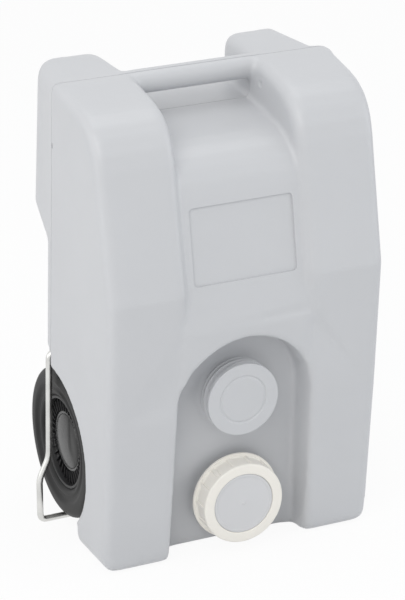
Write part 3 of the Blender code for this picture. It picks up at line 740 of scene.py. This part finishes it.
def upper_neck(look):
    """The blind neck: a lip, a flat face and a shallow ring in it."""
    face = 0.0293
    lip_back = face - 0.0045
    lip_radius = NECK_RADIUS + 0.0022
    waist = NECK_RADIUS - NECK_WAIST
    ring = 0.0285
    ring_floor = face - 0.0011
    middle = face - 0.0001
    outline = soft_corners(
        [
            (0, -NECK_SET_IN, 0),
            (waist, -NECK_SET_IN, 0),
            (waist, lip_back - 0.0006, 0.0004),
            (lip_radius - 0.0002, lip_back, 0.0006),
            (lip_radius, face, 0.0012),
            (ring + 0.0010, face, 0.0007),
            (ring, ring_floor, 0.0006),
            (ring - 0.0010, ring_floor, 0.0006),
            (ring - 0.0026, middle, 0.0010),
            (0, middle, 0),
        ]
    )
    return neck("upper_neck", UPPER_NECK_Z, outline, lip_back, look)


def drain_neck(look):
    """The open drain neck under the screw cap."""
    waist = NECK_RADIUS - NECK_WAIST
    rim = panel_y(DRAIN_NECK_Z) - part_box("cap_seal")[1].y - PLAY
    rim_edge = 0.0007
    outline = soft_corners(
        [
            (BORE_RADIUS, -NECK_SET_IN, 0),
            (waist, -NECK_SET_IN, 0),
            (waist, rim, rim_edge),
            (BORE_RADIUS, rim, rim_edge),
        ]
    )
    return neck("drain_neck", DRAIN_NECK_Z, outline, rim, look)


def screw_collar(look):
    """The cap's collar: flange, flared skirt with recessed grip panels, and a round front ring."""
    box_low, box_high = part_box("cap_collar")
    front = panel_y(DRAIN_NECK_Z) - box_low.y
    base = panel_y(DRAIN_NECK_Z) - box_high.y
    flange = (box_high.x - box_low.x) / 2
    bore = 0.0442
    window = 0.0367
    skirt = 0.0491
    skirt_low = base + 0.0035
    skirt_high = front - 0.0036
    step = front - 0.003
    skirt_edge = 0.0006
    outline = soft_corners(
        [
            (bore, base, 0),
            (flange, base, 0.0009),
            (flange, skirt_low, 0.0012),
            (skirt + 0.0009, skirt_low, skirt_edge),
            (skirt, skirt_high, 0),
            (skirt, front, 0.0024),
            (window, front, 0.0012),
            (window, step, 0),
            (bore, step, 0),
        ]
    )
    panels = 14
    panel_steps = 14
    bm = turned(outline, panels * panel_steps)
    low = skirt_low + skirt_edge - WELD
    high = skirt_high + WELD
    skirt_faces = []
    for face in bm.faces:
        heights = [vert.co.z for vert in face.verts]
        middle = face.calc_center_median()
        if min(heights) > low and max(heights) < high and middle.xy.length > skirt - 0.0005:
            skirt_faces.append((math.atan2(middle.y, middle.x) % math.tau, face))
    pitch = math.tau / panels
    panel_width = 0.86 * pitch
    panel_depth = 0.0013
    frame_width, slope_width = 0.0003, 0.0010
    for index in range(panels):
        start = index * pitch
        panel = [face for angle, face in skirt_faces if start < angle < start + panel_width]
        bmesh.ops.inset_region(bm, faces=panel, thickness=frame_width)
        bmesh.ops.inset_region(bm, faces=panel, thickness=slope_width)
        for vert in {vert for face in panel for vert in face.verts}:
            vert.co.xy *= 1 - panel_depth / skirt
    bmesh.ops.transform(bm, matrix=neck_place(DRAIN_NECK_Z), verts=bm.verts)
    return from_bmesh("screw_collar", bm, look, 50)


def cap_disc(look):
    """The loose disc in the collar, with its injection mark in the middle."""
    box_low, box_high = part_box("cap_insert")
    back = panel_y(DRAIN_NECK_Z) - box_high.y
    front = panel_y(DRAIN_NECK_Z) - box_low.y
    plug = BORE_RADIUS - 0.0006
    flange = 0.0402
    flange_back = back + 0.002
    flange_front = back + 0.0045
    raised = 0.0364
    field = front - 0.0004
    mark = front + 0.0005
    outline = soft_corners(
        [
            (0, back, 0),
            (plug, back, 0.0004),
            (plug, flange_back, 0),
            (flange, flange_back, 0.0003),
            (flange, flange_front, 0.0003),
            (raised, flange_front, 0),
            (raised, front, 0.0007),
            (0.0330, front - 0.0001, 0.0006),
            (0.0326, field, 0.0004),
            (0.0020, field, 0.0003),
            (0.0015, mark, 0.0005),
            (0, mark, 0),
        ]
    )
    bm = turned(outline, 128)
    bmesh.ops.transform(bm, matrix=neck_place(DRAIN_NECK_Z), verts=bm.verts)
    return from_bmesh("cap_disc", bm, look, 40)


def tyre(side, word, look):
    """A fat tyre with round shoulders, a stepped sidewall and a bead against the rim."""
    half = (WHEEL_HIGH.x - WHEEL_LOW.x) / 2
    seat = 0.056
    outer = WHEEL_RADIUS
    fullness = 0.0004
    crown_half = 0.006
    profile = [
        (seat, 0.0150, 0),
        (0.0585, 0.0178, 0.0012),
        (0.0625, 0.0188, 0.0016),
        (0.0655, 0.0172, 0.0014),
        (0.0690, 0.0178, 0.0016),
        (0.0735, half, 0.0026),
        (outer - fullness, half - fullness, 0.0098),
    ]
    mirrored = [(radius, -height, tangent) for radius, height, tangent in profile]
    crown = [(outer, crown_half, 0), (outer, -crown_half, 0)]
    outline = soft_corners([*profile, *crown, *reversed(mirrored)], 6)
    bm = turned(outline, 144)
    bmesh.ops.transform(bm, matrix=wheel_place(side), verts=bm.verts)
    return from_bmesh(f"soft_tyre_{word}", bm, look, 50)


def rim_ribs(bm, web):
    """Adds the radial ribs on a rim's web, each narrower at its top."""
    count = 36
    low = 0.0368
    high = 0.0505
    width = 0.0015
    height = 0.0052
    middle = web + 0.0014
    top_share = 0.55
    size = Matrix.Diagonal((high - low, width, height, 1))
    place = Matrix.Translation(((low + high) / 2, 0, middle))
    for index in range(count):
        rib = bmesh.ops.create_cube(bm, size=1.0)["verts"]
        for vert in rib:
            if vert.co.z > 0:
                vert.co.y *= top_share
        turn = Matrix.Rotation(math.tau * index / count, 4, "Z")
        bmesh.ops.transform(bm, matrix=turn @ place @ size, verts=rib)


def rim(side, word, look):
    """The rim: a rolled edge, a sunken web with radial ribs, and a hub tube behind."""
    outer = 0.0557
    inner = 0.0517
    half = 0.0155
    web = 0.007
    web_back = 0.003
    bore = 0.0074
    hub = 0.013
    hub_end = WELL_WALL_X + 0.0021 - WHEEL_CENTRE.x
    outline = soft_corners(
        [
            (bore, hub_end, 0),
            (hub, hub_end, 0.0006),
            (hub, web_back, 0.0015),
            (inner, web_back, 0.0015),
            (inner, -half, 0.0006),
            (outer, -half, 0.0006),
            (outer, half, 0.0012),
            (inner + 0.0004, half, 0.0012),
            (inner - 0.0006, web, 0.0012),
            (bore, web, 0),
        ],
        3,
    )
    bm = turned(outline, 120)
    rim_ribs(bm, web)
    bmesh.ops.transform(bm, matrix=wheel_place(side), verts=bm.verts)
    return from_bmesh(f"wheel_rim_{word}", bm, look, 40)


def dome_arc(radius, foot, rise, steps=14):
    """Points of a dome's section, from its foot to its top."""
    angles = [math.pi / 2 * step / steps for step in range(steps + 1)]
    return [Vector((radius * math.cos(angle), foot + rise * math.sin(angle))) for angle in angles]


def hub_dome(side, word, look):
    """A plain glossy dome with a rolled lip."""
    base = 0.0073
    radius = 0.0362
    inner = 0.0300
    wall = 0.0008
    lip = base + 0.0022
    lip_inside = lip - 0.0003
    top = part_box("hub_cap_right")[1].x - WHEEL_CENTRE.x
    outline = [
        Vector((inner, base)),
        Vector((radius, base)),
        Vector((radius, lip - 0.0006)),
        Vector((radius - 0.0004, lip)),
        Vector((radius - 0.0014, lip + 0.0002)),
        Vector((radius - 0.0024, lip_inside)),
        *dome_arc(radius - 0.0032, lip_inside, top - lip_inside),
        *reversed(dome_arc(inner, base, top - lip - wall)[1:]),
    ]
    bm = turned(outline, 120)
    bmesh.ops.transform(bm, matrix=wheel_place(side), verts=bm.verts)
    return from_bmesh(f"hub_dome_{word}", bm, look, 50)


def bent(corners, tangent, steps=10):
    """A route through corners, each inner one rounded off."""
    route = [corners[0]]
    for before, corner, after in zip(corners, corners[1:], corners[2:]):
        route += corner_arc(before, corner, after, tangent, steps)
    route.append(corners[-1])
    return route


def bail(look):
    """The bent wire bail, from one stub in the tank's side to the other."""
    stub = 0.022
    splay = 0.0035
    tangent = 0.008
    foot_y = PIVOT.y - ROD_SET_FORWARD
    route = []
    for side in (-1, 1):
        leg = [
            Vector((side * (ARM_X - stub), *PIVOT.yz)),
            Vector((side * ARM_X, *PIVOT.yz)),
            Vector((side * (ARM_X + splay), foot_y, JOG_TOP_Z)),
            Vector((side * FOOT_X, foot_y, JOG_FOOT_Z)),
            Vector((side * FOOT_X, foot_y, ROD_RADIUS)),
        ]
        route += leg if side < 0 else reversed(leg)
    points = bent(route, tangent)
    curve = bpy.data.curves.new("wire_route", "CURVE")
    curve.dimensions = "3D"
    curve.bevel_depth = ROD_RADIUS
    curve.bevel_resolution = 6
    curve.use_fill_caps = True
    line = curve.splines.new("POLY")
    line.points.add(len(points) - 1)
    for point, place in zip(line.points, points):
        point.co = (*place, 1)
    wire = link("wire_route", curve)
    bm = bmesh.new()
    bm.from_mesh(evaluated_mesh(wire))
    bpy.data.objects.remove(wire)
    bmesh.ops.remove_doubles(bm, verts=bm.verts, dist=WELD)
    bmesh.ops.recalc_face_normals(bm, faces=bm.faces)
    return from_bmesh("wire_bail", bm, look, 50)


def seen_directly(tree):
    """1 where the camera looks, also in a reflection or through glass, and 0 for other light."""
    paths = tree.nodes.new("ShaderNodeLightPath")
    total = paths.outputs["Is Camera Ray"]
    for other in ("Is Glossy Ray", "Is Transmission Ray"):
        most = tree.nodes.new("ShaderNodeMath")
        most.operation = "MAXIMUM"
        tree.links.new(total, most.inputs[0])
        tree.links.new(paths.outputs[other], most.inputs[1])
        total = most.outputs["Value"]
    return total


def pale_floor():
    """A pale floor that keeps the tank's shadow and fades into the white surroundings."""
    white_share = 0.93
    look, shader = principled("pale_floor", (0.86, 0.86, 0.86), 0.9)
    nodes = look.node_tree.nodes
    links = look.node_tree.links
    glow = nodes.new("ShaderNodeEmission")
    glow.inputs["Strength"].default_value = 1.0
    part = nodes.new("ShaderNodeMath")
    part.operation = "MULTIPLY"
    part.inputs[1].default_value = white_share
    links.new(seen_directly(look.node_tree), part.inputs[0])
    mixed = nodes.new("ShaderNodeMixShader")
    links.new(part.outputs["Value"], mixed.inputs["Fac"])
    links.new(shader.outputs["BSDF"], mixed.inputs[1])
    links.new(glow.outputs["Emission"], mixed.inputs[2])
    links.new(mixed.outputs["Shader"], nodes["Material Output"].inputs["Surface"])
    bm = bmesh.new()
    bmesh.ops.create_grid(bm, x_segments=1, y_segments=1, size=6)
    from_bmesh("floor", bm, look)


def surroundings():
    """Soft cool light from all round, which the camera sees as white."""
    world = bpy.data.worlds.new("studio")
    bpy.context.scene.world = world
    world.use_nodes = True
    tree = world.node_tree
    background = tree.nodes["Background"]
    background.inputs["Color"].default_value = (0.96, 0.98, 1.0, 1.0)
    background.inputs["Strength"].default_value = 0.62
    white = tree.nodes.new("ShaderNodeBackground")
    white.inputs["Color"].default_value = (1, 1, 1, 1)
    white.inputs["Strength"].default_value = 1.0
    mixed = tree.nodes.new("ShaderNodeMixShader")
    tree.links.new(seen_directly(tree), mixed.inputs["Fac"])
    tree.links.new(background.outputs["Background"], mixed.inputs[1])
    tree.links.new(white.outputs["Background"], mixed.inputs[2])
    tree.links.new(mixed.outputs["Shader"], tree.nodes["World Output"].inputs["Surface"])


def lamp(name, place, size, power, colour):
    """A soft square lamp that faces the tank's middle."""
    tank_middle = Vector((0, 0, 0.27))
    light = bpy.data.lights.new(name, "AREA")
    light.shape = "RECTANGLE"
    light.size = size
    light.size_y = size
    light.energy = power
    light.color = colour
    turn = (Vector(place) - tank_middle).to_track_quat("Z", "Y").to_matrix().to_4x4()
    link(name, light).matrix_world = Matrix.Translation(place) @ turn


def lamps():
    """The key light at the left, a side and a top lamp, and a cool fill at the right."""
    lamp("key", (-1.5, -1.5, 2.1), 1.7, 26.0, (1.0, 0.985, 0.96))
    lamp("side", (-2.2, 0.1, 0.9), 1.5, 7.0, (1.0, 1.0, 1.0))
    lamp("fill", (2.2, -1.2, 1.0), 1.6, 13.0, (0.94, 0.97, 1.0))
    lamp("top", (0.2, 0.3, 2.4), 1.4, 8.0, (1.0, 1.0, 1.0))


def camera():
    """The photograph's viewpoint: its bearing, height, distance and slight roll."""
    azimuth = math.radians(24.67)
    elevation = math.radians(22.88)
    roll = math.radians(-0.06)
    target = Vector((-0.04371, -0.10255, 0.31784))
    distance = 3.0578
    image_height = 600
    focal_pixels = 2764
    back = Vector(
        (
            -math.sin(azimuth) * math.cos(elevation),
            -math.cos(azimuth) * math.cos(elevation),
            math.sin(elevation),
        )
    )
    lens = bpy.data.cameras.new("camera")
    lens.sensor_fit = "VERTICAL"
    lens.sensor_height = 36
    lens.lens = focal_pixels / image_height * lens.sensor_height
    made = link("camera", lens)
    turn = back.to_track_quat("Z", "Y").to_matrix().to_4x4()
    place = Matrix.Translation(target + back * distance)
    made.matrix_world = place @ turn @ Matrix.Rotation(roll, 4, "Z")
    bpy.context.scene.camera = made


def finish_frame_nodes():
    """Steel, nylon and rubber for the frame's nodes that keep their shape."""
    steel = zinc_wire("zinc_steel", (0.62, 0.62, 0.62), 0.32)
    nylon = moulded_plastic("bush_plastic", (0.75, 0.75, 0.72), 0.5, change=0.04, grain=0.04)
    rubber = moulded_plastic("seal_rubber", (0.03, 0.03, 0.03), 0.75, change=0.1, grain=0.1)
    for name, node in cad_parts.items():
        look = steel
        if "bush" in name:
            look = nylon
        if name == "cap_seal":
            look = rubber
        node.data.materials.clear()
        node.data.materials.append(look)


def fitted(piece, body, node):
    """Hangs a piece on its body and hides the node that it takes the place of."""
    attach(piece, body)
    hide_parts(node)


def dress_tank():
    """The tank's shell and necks, its cap and its bail."""
    plastic = moulded_plastic("tank_plastic", (0.565, 0.572, 0.590), 0.37, change=0.012, grain=0.05)
    collar = moulded_plastic("collar_plastic", (0.870, 0.840, 0.780), 0.36, change=0.008, grain=0.04)
    disc = moulded_plastic("disc_plastic", (0.635, 0.637, 0.65), 0.38, change=0.02, grain=0.04)
    wire = zinc_wire("bail_wire", (0.78, 0.78, 0.76), 0.30)
    for piece in (*shell(plastic), upper_neck(plastic), drain_neck(plastic)):
        fitted(piece, "tank", "tank_body")
    fitted(screw_collar(collar), "cap_ring", "cap_collar")
    fitted(cap_disc(disc), "cap_disc", "cap_insert")
    fitted(bail(wire), "bail", "bail_rod")


def dress_wheels():
    """Both wheels: tyre, rim and hub dome."""
    rubber = tyre_skin("tyre_plastic", (0.017, 0.0168, 0.017), 0.5)
    plastic = moulded_plastic("rim_plastic", (0.008, 0.008, 0.009), 0.45, change=0.1, grain=0.05)
    gloss = moulded_plastic(
        "dome_plastic", (0.045, 0.045, 0.045), 0.22, change=0.06, grain=0.02, Specular_IOR_Level=0.3
    )
    for side, word in ((-1, "left"), (1, "right")):
        body = f"wheel_{word}"
        fitted(tyre(side, word, rubber), body, f"tyre_{word}")
        fitted(rim(side, word, plastic), body, f"rim_{word}")
        fitted(hub_dome(side, word, gloss), body, f"hub_cap_{word}")


def main():
    """Finishes the frame's nodes, fits the pieces round them, and sets floor, light and camera."""
    finish_frame_nodes()
    dress_tank()
    dress_wheels()
    bpy.context.scene.view_settings.view_transform = "Standard"
    pale_floor()
    surroundings()
    lamps()
    camera()


main()
